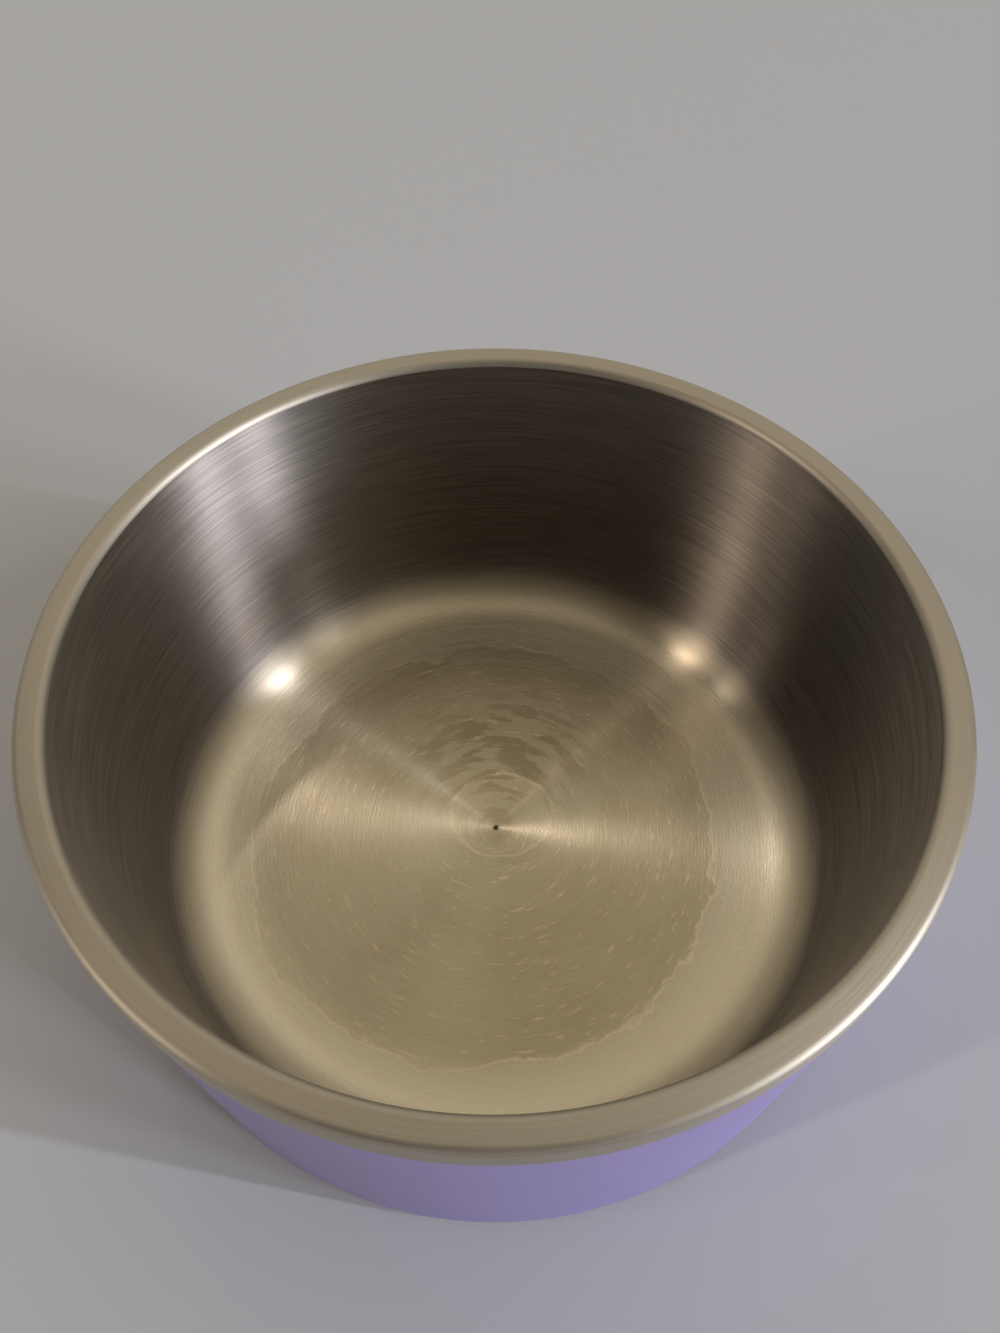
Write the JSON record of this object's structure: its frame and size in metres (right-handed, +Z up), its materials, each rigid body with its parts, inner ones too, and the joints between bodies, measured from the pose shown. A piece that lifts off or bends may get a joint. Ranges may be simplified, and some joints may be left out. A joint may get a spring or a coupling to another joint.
{
  "type": "dog bowl",
  "caption": "Deep round double-wall dog bowl: brushed steel bowl with a broad rolled lip, violet coated outer shell, closed base and a rubber non-slip ring to stand on.",
  "frame": {"origin": "centre of the rubber ring's underside, on the surface the bowl stands on", "axes": "+Z up along the bowl's axis of revolution, +X to the right and +Y away as the picture is taken"},
  "size_m": [0.22, 0.22, 0.1015],
  "materials": {
    "brushed_bowl_steel": "brushed in rings round the axis, satin, with faint water marks on the floor",
    "violet_coat": "satin powder coat, light violet",
    "base_steel": "plain pressed steel, satin",
    "ring_rubber": "matt black moulded rubber"
  },
  "bodies": {
    "root": {"inner_bowl": "brushed_bowl_steel", "outer_shell": "violet_coat", "base_plate": "base_steel", "non_slip_ring": "ring_rubber"}
  },
  "joints": []
}
